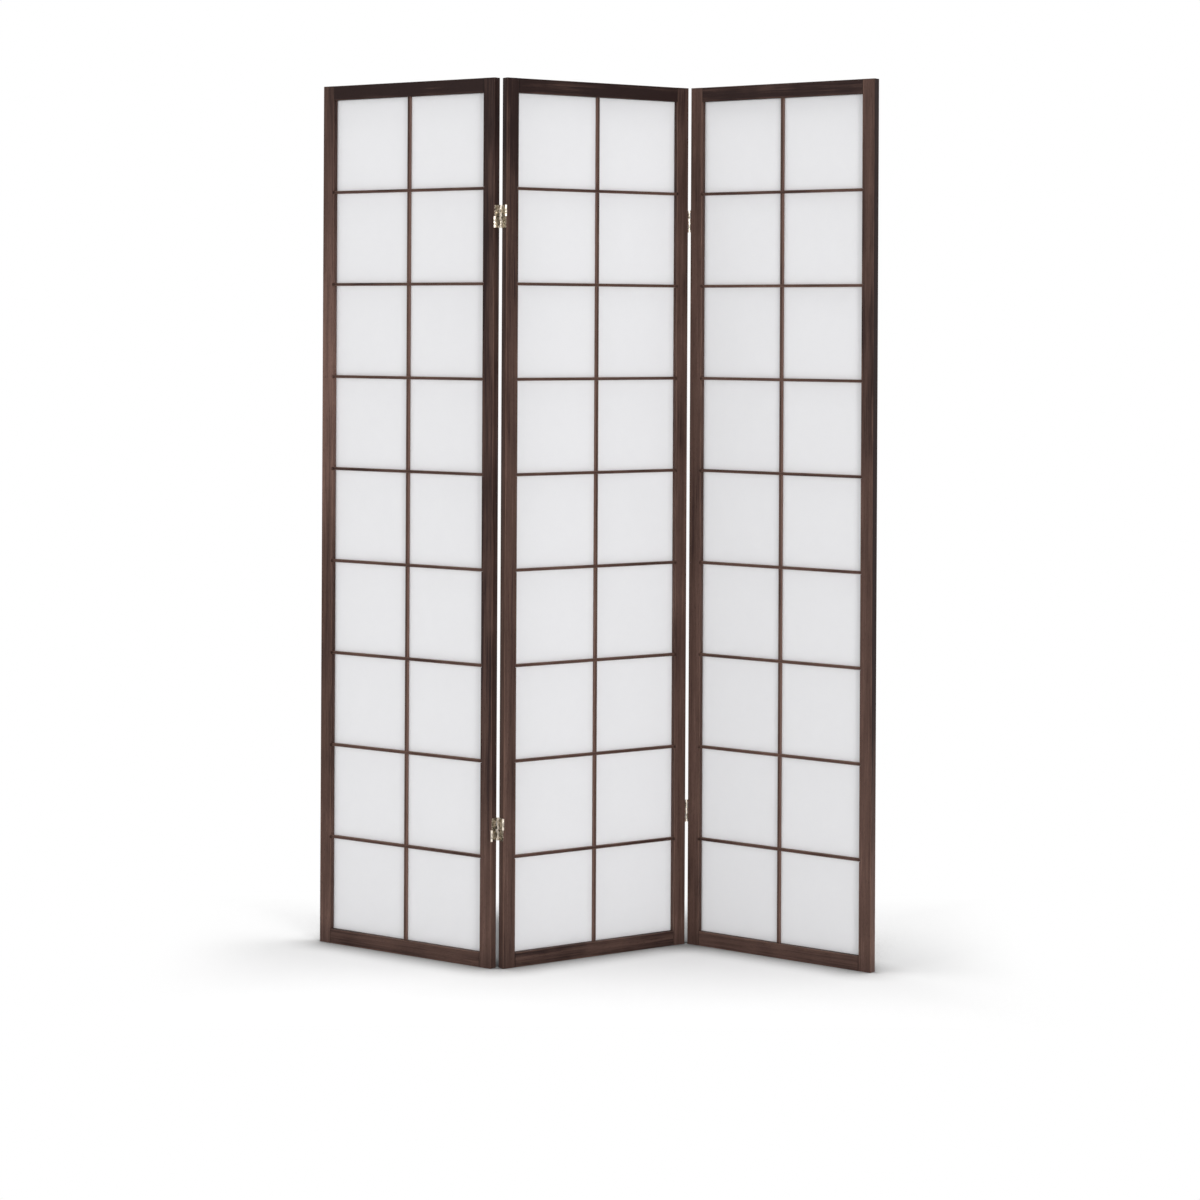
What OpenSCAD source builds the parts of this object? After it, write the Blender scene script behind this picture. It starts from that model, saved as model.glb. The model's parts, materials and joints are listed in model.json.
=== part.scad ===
// Three-panel folding screen: wooden lattice frames backed with paper, joined by hinges that fold both ways.
// Each panel is built upright on its own centre line, front towards -Y, and is then folded into place.
// The origin is the middle of the middle panel's foot, with +Z up and +X along the run of the screen.

/* [Panels] */
// Height of each panel
panel_h = 1785; // [1500:5:2100]
// Width of each panel
panel_w = 442; // [320:2:600]
// Thickness of the stiles and rails
frame_t = 18; // [16:0.5:30]
// Face width of the upright stiles
stile_w = 28; // [25:0.5:50]
// Face height of the top and bottom rails
rail_h = 29.5; // [26:0.5:60]
// Rounding along the long edges of the stiles and rails
edge_r = 1; // [0.3:0.1:2]

/* [Lattice] */
// Number of crossbars in each panel
crossbar_count = 8; // [3:1:12]
// Face width of a lattice strip
strip_w = 6; // [4:0.5:10]
// Thickness of a lattice strip, from front to back
strip_t = 7; // [4:0.5:8]
// Rounding along the long edges of a lattice strip
strip_edge_r = 0.4; // [0.2:0.1:1]
// Depth of the lattice behind the front of the frame
strip_setback = 4.5; // [2:0.5:6]
// Length of a crossbar end that is housed in a stile
crossbar_tenon = 3; // [2:0.5:8]
// Length of an upright's end that is housed in a rail
upright_tenon = 6; // [4:0.5:8]
// Gap on each side of a strip where it enters a housing or crosses another strip
strip_fit = 0.1; // [0.05:0.05:0.3]

/* [Paper] */
// Thickness of the paper
paper_t = 0.5; // [0.3:0.1:1]
// Gap between the paper's edge and the wall of its rebate
paper_fit = 0.5; // [0.2:0.1:2]
// Width of the rebate round the back of the window
rebate_w = 6; // [4:0.5:8]
// Width of the battens that hold the paper in its rebate
batten_w = 5.8; // [3.5:0.1:8]
// Depth of the battens below the back of the frame
batten_recess = 0.5; // [0:0.1:1]
// Gap at the sides and ends of a batten
batten_fit = 0.1; // [0.05:0.05:0.5]
// Rounding along the long edges of a batten
batten_edge_r = 0.6; // [0.2:0.1:0.8]

/* [Corner joints] */
// Diameter of the corner dowels
dowel_d = 6; // [5:0.5:7]
// Length of the corner dowels, half in each piece
dowel_l = 30; // [20:1:36]
// Wood left between a dowel and the rail's outer edge or its rebate
dowel_margin = 3; // [2:0.5:4]
// Gap between a dowel and the wall of its hole
dowel_fit = 0.05; // [0.02:0.01:0.1]
// Space left past the end of a dowel
dowel_end_gap = 0.5; // [0.2:0.1:1]

/* [Hinges] */
// Distance from a panel's top or bottom to the middle of the nearer hinge
hinge_inset = 278; // [150:1:450]
// Height of one half of a hinge, which holds a leaf's two knuckles with a link's one between them
hinge_half_h = 23; // [20:0.5:36]
// Height along the pin of each of a leaf's knuckles, where a link's knuckle takes up the rest
leaf_knuckle_h = 6; // [4:0.5:8]
// Height of a link at its waist, half way from one pin to the other
link_waist_h = 6.5; // [4:0.5:9]
// Thickness of the sheet that the leaves and links are cut from
sheet_t = 1; // [0.8:0.1:1.5]
// Diameter of a hinge pin
pin_d = 2.5; // [2:0.1:4]
// Running gap between a pin and the wall of its knuckles
pin_fit = 0.05; // [0.02:0.01:0.1]
// Distance of the pins' centres outside the faces of the frame
pin_offset = 1.2; // [1:0.1:3]
// Gap between one knuckle and the next along a pin
knuckle_play = 0.3; // [0.1:0.05:0.6]
// Gap between a knuckle and the edge of the plate that turns beside it
plate_gap = 0.3; // [0.2:0.05:1]
// Rounding of the corners of the leaves
plate_corner_r = 1.5; // [0.5:0.1:3]

/* [Screws] */
// Diameter of a screw's shank
screw_d = 3; // [2.5:0.1:3.5]
// Diameter of a screw's countersunk head
screw_head_d = 5.4; // [4.5:0.1:6]
// Length of a screw
screw_l = 14; // [10:0.5:16]
// Length of a screw's point
screw_tip_l = 2.5; // [1:0.1:4]
// Distance between the two screws in one half of a leaf
screw_spacing = 12; // [8:0.5:14]
// Gap between a screw and the wall of its hole
screw_fit = 0.05; // [0.02:0.01:0.1]

/* [Pose] */
// Angle between the left panel and the run of the screen
left_turn = 34; // [0:1:60]
// Angle between the middle panel and the run of the screen
middle_turn = 33; // [0:1:60]
// Angle between the right panel and the run of the screen
right_turn = 36; // [0:1:60]

/* [Hidden] */
$fn = 48;
past = 1; // how far a cut runs past the face that it opens
wood_colour = [0.27, 0.21, 0.18];
batten_colour = [0.33, 0.26, 0.22];
dowel_colour = [0.80, 0.66, 0.46];
paper_colour = [0.93, 0.93, 0.94];
hinge_colour = [0.72, 0.68, 0.56];
pin_colour = [0.62, 0.62, 0.60];
screw_colour = [0.76, 0.70, 0.50];

// The window is the opening between the stiles and rails, seen from the front
window_w = panel_w - 2 * stile_w;
window_h = panel_h - 2 * rail_h;
rebate_w_total = window_w + 2 * rebate_w;
rebate_z = rail_h - rebate_w;
rebate_h_total = panel_h - 2 * rebate_z;

// Depths, from the front of the frame to its back
front_y = -frame_t / 2;
back_y = frame_t / 2;
strip_y = front_y + strip_setback;
paper_y = strip_y + strip_t;
batten_y = paper_y + paper_t;
batten_t = back_y - batten_recess - batten_y;

// The middles of the crossbars divide the window into equal parts
crossbar_pitch = window_h / (crossbar_count + 1);
crossbar_z = [for (k = [1 : crossbar_count]) rail_h + k * crossbar_pitch];

// Dowels stand clear of the rail's outer edge and of its rebate
dowel_z_low = dowel_margin + dowel_d / 2;
dowel_z_high = rail_h - rebate_w - dowel_margin - dowel_d / 2;

// Sheet is rolled round each pin, and the gap between two panels in line is as wide as a knuckle
bore_r = pin_d / 2 + pin_fit;
knuckle_r = bore_r + sheet_t;
panel_gap = 2 * knuckle_r;
pin_y = frame_t / 2 + pin_offset;
plate_reach = pin_y - knuckle_r - plate_gap;
strap_y = plate_reach - plate_corner_r;
link_knuckle_h = hinge_half_h - 2 * leaf_knuckle_h;
screw_head_h = (screw_head_d - screw_d) / 2;

// Panels stand one panel and one gap apart when the screen is unfolded
panel_step = panel_w + panel_gap;
fold_x = panel_step / 2;
hinge_z = [hinge_inset, panel_h - hinge_inset];
LEFT = -1;
RIGHT = 1;
FRONT = -1;
BACK = 1;
LOWER = -1;
UPPER = 1;

PANELS = ["left", "middle", "right"];
PANEL_PIECES = [
    "left_stile", "right_stile", "top_rail", "bottom_rail", "upright", "crossbars", "paper",
    "side_battens", "cross_battens", "corner_dowels", "hinge_pins", "hinge_screws"
];
FOLDS = ["left_fold", "right_fold"];
HINGES = ["bottom_hinge", "top_hinge"];
HINGE_PIECES = ["left_leaf", "right_leaf", "upper_link", "lower_link"];
NODES = concat(
    [for (panel = PANELS) for (piece = PANEL_PIECES) str(panel, "_panel_", piece)],
    [for (fold = FOLDS) for (hinge = HINGES) for (piece = HINGE_PIECES) str(fold, "_", hinge, "_", piece)]
);
node = "all";

function wanted(name) = node == "all" || node == name;

// Rounded rectangle about the origin
module rounded_rect(w, h, r) {
    square([w - 2 * r, h], center = true);
    square([w, h - 2 * r], center = true);
    for (x = [-1, 1], y = [-1, 1])
        translate([x * (w / 2 - r), y * (h / 2 - r)])
            circle(r);
}

// Box centred on X, given by its width, its range of Y and its range of Z
module slab(w, y0, y1, z0, z1) {
    translate([-w / 2, y0, z0])
        cube([w, y1 - y0, z1 - z0]);
}

// Bar along X with rounded long edges, centred on X, given by its length and its ranges of Y and Z
module rounded_bar(length, y0, y1, z0, z1, r) {
    translate([0, (y0 + y1) / 2, (z0 + z1) / 2])
        rotate([90, 0, 90])
            linear_extrude(length, center = true)
                rounded_rect(y1 - y0, z1 - z0, r);
}

// Post along Z with rounded long edges, given by its range of X, its range of Y and its range of Z
module rounded_post(x0, x1, y0, y1, z0, z1, r) {
    translate([(x0 + x1) / 2, (y0 + y1) / 2, z0])
        linear_extrude(z1 - z0)
            rounded_rect(x1 - x0, y1 - y0, r);
}

// Places: the middle panel turns about the origin, and the others fold on from its edges

module in_middle_panel() {
    rotate([0, 0, middle_turn])
        children();
}

// The left panel folds back about the rear pins of its hinges
module in_left_panel() {
    in_middle_panel()
        translate([-fold_x, BACK * pin_y, 0])
            rotate([0, 0, -(left_turn + middle_turn)])
                translate([-fold_x, -BACK * pin_y, 0])
                    children();
}

// The right panel folds forward about the front pins of its hinges
module in_right_panel() {
    in_middle_panel()
        translate([fold_x, FRONT * pin_y, 0])
            rotate([0, 0, -(middle_turn + right_turn)])
                translate([fold_x, -FRONT * pin_y, 0])
                    children();
}

module in_panel(index) {
    if (index == 0) in_left_panel() children();
    if (index == 1) in_middle_panel() children();
    if (index == 2) in_right_panel() children();
}

// A hinge's place at one side of a panel: the middle of the gap beside it, at the hinge's own height
module at_hinge(side, index) {
    translate([side * fold_x, 0, hinge_z[index]])
        children();
}

// Cuts that two or more pieces of a panel share, and the dowels and screws that fit in some of them

module window_rebate() {
    slab(rebate_w_total, paper_y, back_y + past, rebate_z, rebate_z + rebate_h_total);
}

// Housings open to the front of the stiles, so that a crossbar drops in from there
module crossbar_housings() {
    for (z = crossbar_z)
        slab(
            window_w + 2 * (crossbar_tenon + strip_fit), front_y - past, paper_y,
            z - strip_w / 2 - strip_fit, z + strip_w / 2 + strip_fit
        );
}

// Mortises that are hidden from the front by the face of the rails
module upright_mortises() {
    slab(
        strip_w + 2 * strip_fit, strip_y - strip_fit, paper_y,
        rail_h - upright_tenon - strip_fit, panel_h - rail_h + upright_tenon + strip_fit
    );
}

// Rods across the four corner joints: the dowels themselves, or their holes where they have a fit
module corner_rods(fit = 0, end_gap = 0) {
    length = dowel_l + 2 * end_gap;
    for (side = [LEFT, RIGHT], z = [dowel_z_low, dowel_z_high, panel_h - dowel_z_high, panel_h - dowel_z_low])
        translate([side * window_w / 2 - length / 2, 0, z])
            rotate([0, 90, 0])
                cylinder(d = dowel_d + 2 * fit, h = length);
}

// Screw driven towards -X, with the flat of its head at X = 0; a hole for it opens past that face
module hinge_screw(fit = 0, opening = 0) {
    head_r = screw_head_d / 2 + fit;
    shank_r = screw_d / 2 + fit;
    rotate([0, -90, 0])
        rotate_extrude()
            polygon([
                [0, -opening], [head_r, -opening], [head_r, 0], [shank_r, screw_head_h],
                [shank_r, screw_l - screw_tip_l], [0, screw_l + fit]
            ]);
}

// The four screws of the left leaf, in the hinge's own place
module left_leaf_screws(fit = 0, opening = 0) {
    for (half = [LOWER, UPPER], end = [-1, 1])
        translate([-panel_gap / 2 + sheet_t, 0, (half * hinge_half_h + end * screw_spacing) / 2])
            hinge_screw(fit, opening);
}

module right_leaf_screws(fit = 0, opening = 0) {
    rotate([0, 0, 180])
        left_leaf_screws(fit, opening);
}

// The screws that hold a panel's leaves: left leaves lie on its right edge and right leaves on its left edge
module panel_screws(on_left, on_right, fit = 0, opening = 0) {
    for (h = [0 : len(HINGES) - 1]) {
        if (on_left)
            at_hinge(LEFT, h) right_leaf_screws(fit, opening);
        if (on_right)
            at_hinge(RIGHT, h) left_leaf_screws(fit, opening);
    }
}

// Sub-parts of a panel

module stile(side, hinged) {
    inner = side * window_w / 2;
    outer = side * panel_w / 2;
    color(wood_colour)
        difference() {
            rounded_post(min(inner, outer), max(inner, outer), front_y, back_y, 0, panel_h, edge_r);
            window_rebate();
            crossbar_housings();
            corner_rods(dowel_fit, dowel_end_gap);
            if (hinged)
                panel_screws(side == LEFT, side == RIGHT, screw_fit, past);
        }
}

module rail(z0) {
    color(wood_colour)
        difference() {
            rounded_bar(window_w, front_y, back_y, z0, z0 + rail_h, edge_r);
            window_rebate();
            upright_mortises();
            corner_rods(dowel_fit, dowel_end_gap);
        }
}

// The crossbars keep their front half where they cross the upright
module crossbars() {
    color(wood_colour)
        for (z = crossbar_z)
            difference() {
                rounded_bar(
                    window_w + 2 * crossbar_tenon, strip_y, paper_y,
                    z - strip_w / 2, z + strip_w / 2, strip_edge_r
                );
                slab(
                    strip_w + 2 * strip_fit, strip_y + strip_t / 2, paper_y + past,
                    z - strip_w, z + strip_w
                );
            }
}

// The upright keeps its back half where the crossbars pass in front of it
module upright() {
    color(wood_colour)
        difference() {
            rounded_post(
                -strip_w / 2, strip_w / 2, strip_y, paper_y,
                rail_h - upright_tenon, panel_h - rail_h + upright_tenon, strip_edge_r
            );
            for (z = crossbar_z)
                slab(
                    strip_w + 2 * past, strip_y - past, strip_y + strip_t / 2,
                    z - strip_w / 2 - strip_fit, z + strip_w / 2 + strip_fit
                );
        }
}

// One sheet, glued to the backs of the strips and to the floor of the rebate
module paper() {
    color(paper_colour)
        slab(
            rebate_w_total - 2 * paper_fit, paper_y, batten_y,
            rebate_z + paper_fit, rebate_z + rebate_h_total - paper_fit
        );
}

module side_battens() {
    outer = rebate_w_total / 2 - batten_fit;
    color(batten_colour)
        for (side = [LEFT, RIGHT])
            rounded_post(
                min(side * outer, side * (outer - batten_w)), max(side * outer, side * (outer - batten_w)),
                batten_y, batten_y + batten_t,
                rebate_z + batten_fit, rebate_z + rebate_h_total - batten_fit, batten_edge_r
            );
}

// The battens across the top and bottom lie between the side ones
module cross_battens() {
    length = rebate_w_total - 2 * (batten_w + 2 * batten_fit);
    color(batten_colour)
        for (z = [rebate_z + batten_fit, rebate_z + rebate_h_total - batten_fit - batten_w])
            rounded_bar(length, batten_y, batten_y + batten_t, z, z + batten_w, batten_edge_r);
}

module corner_dowels() {
    color(dowel_colour)
        corner_rods();
}

module hinge_screws(on_left, on_right) {
    color(screw_colour)
        panel_screws(on_left, on_right);
}

// Hinge: in each half a link ties a rear pin to a front pin, and the two links cross over from leaf to leaf.
// The left leaf is rolled round the rear pin above and the front pin below, and the right leaf the other way,
// so the panels fold back about the rear pins or forward about the front ones.
// The hinge's own place is the middle of the gap between two panels in line, at the middle of its height.

// Where a knuckle starts in one half, and its height: the leaf's are 0 and 2, and the link's is 1 between them
function knuckle_z(half, index) =
    (half == UPPER ? 0 : -hinge_half_h) + (index > 0 ? leaf_knuckle_h : 0)
    + (index > 1 ? link_knuckle_h : 0) + knuckle_play / 2;
function knuckle_h(index) = (index == 1 ? link_knuckle_h : leaf_knuckle_h) - knuckle_play;

// Side that the left leaf's knuckles are on, in one half
function left_leaf_side(half) = half == UPPER ? BACK : FRONT;

// Sheet that stands across the gap's thickness, given by its place along X, its middle height and its outline
module hinge_sheet(x, z) {
    translate([x, 0, z])
        rotate([90, 0, 90])
            linear_extrude(sheet_t)
                children();
}

// Knuckle on the pin at the front or the back, with a strap to the sheet that it is rolled from, which lies at x
module knuckle(side, x, half, index) {
    translate([0, 0, knuckle_z(half, index)])
        linear_extrude(knuckle_h(index))
            difference() {
                union() {
                    translate([0, side * pin_y])
                        circle(knuckle_r);
                    translate([x, side == BACK ? strap_y : -pin_y])
                        square([sheet_t, pin_y - strap_y]);
                }
                translate([0, side * pin_y])
                    circle(bore_r);
            }
}

module left_leaf() {
    plate_x = -panel_gap / 2;
    color(hinge_colour)
        difference() {
            union() {
                hinge_sheet(plate_x, 0)
                    rounded_rect(2 * plate_reach, 2 * hinge_half_h - knuckle_play, plate_corner_r);
                for (half = [LOWER, UPPER], index = [0, 2])
                    knuckle(left_leaf_side(half), plate_x, half, index);
            }
            left_leaf_screws(screw_fit, past);
        }
}

module right_leaf() {
    rotate([0, 0, 180])
        left_leaf();
}

// A link is as tall as its knuckles at its ends, and is drawn in to a waist between them by two arcs
module link(half) {
    web_x = -sheet_t / 2;
    web_h = knuckle_h(1);
    waist_cut = (web_h - link_waist_h) / 2;
    waist_r = (pow(strap_y, 2) + pow(waist_cut, 2)) / (2 * waist_cut);
    color(hinge_colour) {
        hinge_sheet(web_x, knuckle_z(half, 1) + web_h / 2)
            difference() {
                square([2 * plate_reach, web_h], center = true);
                for (side = [-1, 1])
                    translate([0, side * (link_waist_h / 2 + waist_r)])
                        circle(waist_r);
            }
        for (side = [FRONT, BACK])
            knuckle(side, web_x, half, 1);
    }
}

// The two pins that the left leaf holds, each as long as a half's three knuckles
module left_leaf_pins() {
    for (half = [LOWER, UPPER])
        translate([0, left_leaf_side(half) * pin_y, knuckle_z(half, 0)])
            cylinder(d = pin_d, h = hinge_half_h - knuckle_play);
}

module hinge_pins(on_left, on_right) {
    color(pin_colour)
        for (h = [0 : len(HINGES) - 1]) {
            if (on_left)
                at_hinge(LEFT, h)
                    rotate([0, 0, 180])
                        left_leaf_pins();
            if (on_right)
                at_hinge(RIGHT, h) left_leaf_pins();
        }
}

for (i = [0 : len(PANELS) - 1]) {
    panel = str(PANELS[i], "_panel_");
    on_left = i > 0;
    on_right = i < len(PANELS) - 1;
    if (wanted(str(panel, "left_stile"))) in_panel(i) stile(LEFT, on_left);
    if (wanted(str(panel, "right_stile"))) in_panel(i) stile(RIGHT, on_right);
    if (wanted(str(panel, "top_rail"))) in_panel(i) rail(panel_h - rail_h);
    if (wanted(str(panel, "bottom_rail"))) in_panel(i) rail(0);
    if (wanted(str(panel, "upright"))) in_panel(i) upright();
    if (wanted(str(panel, "crossbars"))) in_panel(i) crossbars();
    if (wanted(str(panel, "paper"))) in_panel(i) paper();
    if (wanted(str(panel, "side_battens"))) in_panel(i) side_battens();
    if (wanted(str(panel, "cross_battens"))) in_panel(i) cross_battens();
    if (wanted(str(panel, "corner_dowels"))) in_panel(i) corner_dowels();
    if (wanted(str(panel, "hinge_pins"))) in_panel(i) hinge_pins(on_left, on_right);
    if (wanted(str(panel, "hinge_screws"))) in_panel(i) hinge_screws(on_left, on_right);
}

// Each link keeps to the panel whose leaf holds its idle pin: the front one where the fold turns about
// the rear pins, as the left fold does, and the rear one where it turns about the front pins
for (f = [0 : len(FOLDS) - 1], h = [0 : len(HINGES) - 1]) {
    hinge = str(FOLDS[f], "_", HINGES[h], "_");
    on_left = f;
    on_right = f + 1;
    turns_about_rear = f == 0;
    upper_on = turns_about_rear ? on_right : on_left;
    upper_side = turns_about_rear ? LEFT : RIGHT;
    lower_on = turns_about_rear ? on_left : on_right;
    lower_side = turns_about_rear ? RIGHT : LEFT;
    if (wanted(str(hinge, "left_leaf"))) in_panel(on_left) at_hinge(RIGHT, h) left_leaf();
    if (wanted(str(hinge, "right_leaf"))) in_panel(on_right) at_hinge(LEFT, h) right_leaf();
    if (wanted(str(hinge, "upper_link"))) in_panel(upper_on) at_hinge(upper_side, h) link(UPPER);
    if (wanted(str(hinge, "lower_link"))) in_panel(lower_on) at_hinge(lower_side, h) link(LOWER);
}
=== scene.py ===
# %% [markdown]
# # A folding screen of three papered lattice panels
#
# The screen is three wooden panels that stand in a zigzag, joined by small hinges that fold both ways.
# Each panel is a frame of stained hardwood round a fine lattice, and one sheet of white paper is stretched
# behind it.
#
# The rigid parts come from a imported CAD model. Blender never moves them: this script gives them their
# finishes, and makes by itself what a CAD solid can't show, such as the paper's soft unevenness and the
# screws' heads.

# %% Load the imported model
import json
import math

import bmesh
import bpy
import numpy as np
from mathutils import Matrix, Vector, noise


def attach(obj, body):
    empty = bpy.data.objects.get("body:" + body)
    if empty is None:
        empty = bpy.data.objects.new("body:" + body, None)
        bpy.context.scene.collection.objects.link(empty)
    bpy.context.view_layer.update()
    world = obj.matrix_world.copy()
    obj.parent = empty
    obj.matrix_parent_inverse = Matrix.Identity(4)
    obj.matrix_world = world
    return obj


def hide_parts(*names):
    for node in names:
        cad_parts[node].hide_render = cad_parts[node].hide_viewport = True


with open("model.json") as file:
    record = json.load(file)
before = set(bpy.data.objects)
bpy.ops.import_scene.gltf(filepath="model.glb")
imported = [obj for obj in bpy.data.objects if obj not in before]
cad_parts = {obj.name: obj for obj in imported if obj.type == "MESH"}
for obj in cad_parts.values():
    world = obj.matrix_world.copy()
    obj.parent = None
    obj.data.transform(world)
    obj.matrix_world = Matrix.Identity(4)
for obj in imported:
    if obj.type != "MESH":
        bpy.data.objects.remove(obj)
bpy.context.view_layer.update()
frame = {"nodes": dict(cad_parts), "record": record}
nodes = frame["nodes"]

# %% [markdown]
# ## Where each panel stands
#
# A panel is easiest to build upright at the origin, facing -Y, and to put in its place at the end. Its
# place is one matrix: a turn about the vertical, and then a move. Both could be typed in again from the
# CAD model, but measuring them keeps the two in step. The paper's largest face looks exactly where its
# panel faces, which gives the turn, and the bottom rail is centred on its panel, which gives the move.

# %% Measure the panels' places
PANELS = ("left", "middle", "right")


def own_box(node, place):
    """Lowest and highest corner of a CAD node along the axes of the panel at that place."""
    corners = np.array([v.co for v in nodes[node].data.vertices])
    back = np.array(place.inverted())
    own = corners @ back[:3, :3].T + back[:3, 3]
    return Vector(own.min(axis=0)), Vector(own.max(axis=0))


def place_of(panel):
    """Matrix that carries a panel from the origin, facing -Y, to where it stands."""
    faces = nodes[f"{panel}_panel_paper"].data.polygons
    front = max((face for face in faces if face.normal.y < 0), key=lambda face: face.area).normal
    turned = Matrix.Rotation(math.atan2(front.x, -front.y), 4, "Z")
    low, high = own_box(f"{panel}_panel_bottom_rail", turned)
    centre = (low + high) / 2
    return Matrix.Translation(turned @ Vector((centre.x, centre.y, 0))) @ turned


places = {panel: place_of(panel) for panel in PANELS}
for panel in PANELS:
    print(f"{panel} panel turned by {math.degrees(places[panel].to_euler().z):.1f} degrees")

# %% [markdown]
# ## The camera
#
# The upright edges of the screen are parallel in the picture, so the camera looks level, although the
# screen stands low in the frame. A photographer gets this with a shift lens, and Blender with the camera's
# own shift. A long lens from six metres keeps the near and far edges of the zigzag almost the same height.

# %% Set up the camera
SENSOR_MM = 36
LENS_MM = 84.75
CAMERA_AT = (0.0074, -5.7822, 1.2900)
CAMERA_ROLL = math.radians(-0.279)
CAMERA_SHIFT_Y = -0.2291

camera = bpy.data.objects.new("camera", bpy.data.cameras.new("camera"))
bpy.context.scene.collection.objects.link(camera)
bpy.context.scene.camera = camera
camera.data.sensor_width = SENSOR_MM
camera.data.lens = LENS_MM
camera.data.shift_y = CAMERA_SHIFT_Y
camera.matrix_world = (
    Matrix.Translation(CAMERA_AT)
    @ Matrix.Rotation(CAMERA_ROLL, 4, "Y")
    @ Matrix.Rotation(math.pi / 2, 4, "X")
)
print("camera", round(-CAMERA_AT[1], 2), "metres in front of the screen")

# %% [markdown]
# ## Node trees written as sums
#
# Materials and Geometry Nodes are both trees of nodes. Adding each node and link by hand makes long
# scripts that hide what they work out. Here a `Wire` stands for a socket, and arithmetic on wires adds the
# Math nodes that do it, so that a mask can be written as `1 - edge * 0.5`. A `Graph` adds every other kind
# of node with one method: its settings first, because they can change which sockets a node has, and then
# its sockets.

# %% Let wires do sums


class Wire:
    """A socket of a node tree, on which arithmetic adds Math nodes."""

    def __init__(self, graph, socket):
        self.graph = graph
        self.socket = socket

    def math(self, operation, *values):
        """Adds one Math node, with numbers or wires as its values."""
        return self.graph.add("ShaderNodeMath", {"operation": operation}, dict(enumerate(values)))

    def __add__(self, other):
        return self.math("ADD", self, other)

    def __radd__(self, other):
        return self.math("ADD", other, self)

    def __sub__(self, other):
        return self.math("SUBTRACT", self, other)

    def __rsub__(self, other):
        return self.math("SUBTRACT", other, self)

    def __mul__(self, other):
        return self.math("MULTIPLY", self, other)

    def __rmul__(self, other):
        return self.math("MULTIPLY", other, self)

    def __truediv__(self, other):
        return self.math("DIVIDE", self, other)

    def __pow__(self, other):
        return self.math("POWER", self, other)

    def __abs__(self):
        return self.math("ABSOLUTE", self)

    def sign(self):
        """1 for a value above 0 and -1 for one below."""
        return self.math("SIGN", self)

    def at_least(self, other):
        """The greater of the two values."""
        return self.math("MAXIMUM", self, other)

    def wrap(self, high, low):
        """Folds the value back into the range from low to high, over and over."""
        return self.math("WRAP", self, high, low)


print("sums on wires add Math nodes")

# %% Let a graph add nodes
# The Mix node has sockets of its own for each kind of value, and these are the ones for colours
MIX_FACTOR = 0
MIX_FIRST = 6
MIX_SECOND = 7
MIX_RESULT = 2


class Graph:
    """A node tree and the one way in which nodes are added to it."""

    def __init__(self, tree):
        self.tree = tree

    def add(self, kind, settings=None, sockets=None, output=0):
        """Adds a node, makes its settings, sets or links its sockets, and gives one output as a wire."""
        node = self.tree.nodes.new(kind)
        for name, value in (settings or {}).items():
            setattr(node, name, value)
        for name, value in (sockets or {}).items():
            for one in value if isinstance(value, list) else [value]:
                if isinstance(one, Wire):
                    self.tree.links.new(one.socket, node.inputs[name])
                else:
                    node.inputs[name].default_value = one
        return Wire(self, node.outputs[output]) if node.outputs else None

    def vector(self, x, y, z):
        """A vector of three numbers or wires."""
        return self.add("ShaderNodeCombineXYZ", sockets={"X": x, "Y": y, "Z": z})

    def axes(self, vector):
        """The three coordinates of a vector."""
        node = self.add("ShaderNodeSeparateXYZ", sockets={"Vector": vector}).socket.node
        return [Wire(self, socket) for socket in node.outputs]

    def step(self, value, low, high):
        """0 where value is under low and 1 where it is over high, with a smooth rise between."""
        return self.add(
            "ShaderNodeMapRange", {"interpolation_type": "SMOOTHSTEP"},
            {"Value": value, "From Min": low, "From Max": high},
        )

    def curve(self, share, heights):
        """A smooth line through heights from -1 to 1, set at even steps as share goes from 0 to 1."""
        line = self.add("ShaderNodeValToRGB", sockets={"Fac": share})
        ramp = line.socket.node.color_ramp
        ramp.interpolation = "EASE"
        while len(ramp.elements) < len(heights):
            ramp.elements.new(1.0)
        for number, height in enumerate(heights):
            level = (height + 1) / 2
            ramp.elements[number].position = number / (len(heights) - 1)
            ramp.elements[number].color = (level, level, level, 1)
        return line * 2 - 1

    def noise(self, vector, detail=2.0, roughness=0.5):
        """Smooth noise from about 0 to 1 that changes over about one unit of vector."""
        return self.add("ShaderNodeTexNoise", sockets={
            "Vector": vector, "Scale": 1.0, "Detail": detail, "Roughness": roughness,
        })

    def mix(self, factor, first, second, blend_type="MIX"):
        """A colour between two, by a factor from 0 to 1."""
        return self.add(
            "ShaderNodeMix", {"data_type": "RGBA", "blend_type": blend_type},
            {MIX_FACTOR: factor, MIX_FIRST: first, MIX_SECOND: second}, MIX_RESULT,
        )

    def mix_shaders(self, factor, first, second):
        """A shader between two, by a factor from 0 to 1."""
        # The two shaders' sockets have the same name, so they go by number
        return self.add("ShaderNodeMixShader", sockets={0: factor, 1: first, 2: second})

    def bump(self, height, strength, distance):
        """A normal that makes a face look raised by distance where height is 1."""
        return self.add("ShaderNodeBump", sockets={
            "Strength": strength, "Distance": distance, "Height": height,
        })


print("a graph adds every other kind of node")

# %% Write colours and start materials


def linear(level):
    """A level from 0 to 255 on a screen as a share of white's light, by the sRGB rule."""
    share = level / 255
    return ((share + 0.055) / 1.055) ** 2.4 if share > 0.04045 else share / 12.92


def colour(red, green, blue):
    """A colour of a screen's 0 to 255 levels as the linear values that shaders work in."""
    return linear(red), linear(green), linear(blue), 1


def new_material(name):
    """A material with an empty tree, and its graph."""
    material = bpy.data.materials.new(name)
    material.use_nodes = True
    material.node_tree.nodes.clear()
    return material, Graph(material.node_tree)


def show(graph, shader):
    """Makes a shader the one that the material shows."""
    graph.add("ShaderNodeOutputMaterial", sockets={"Surface": shader})


print("white is", colour(255, 255, 255))

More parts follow.
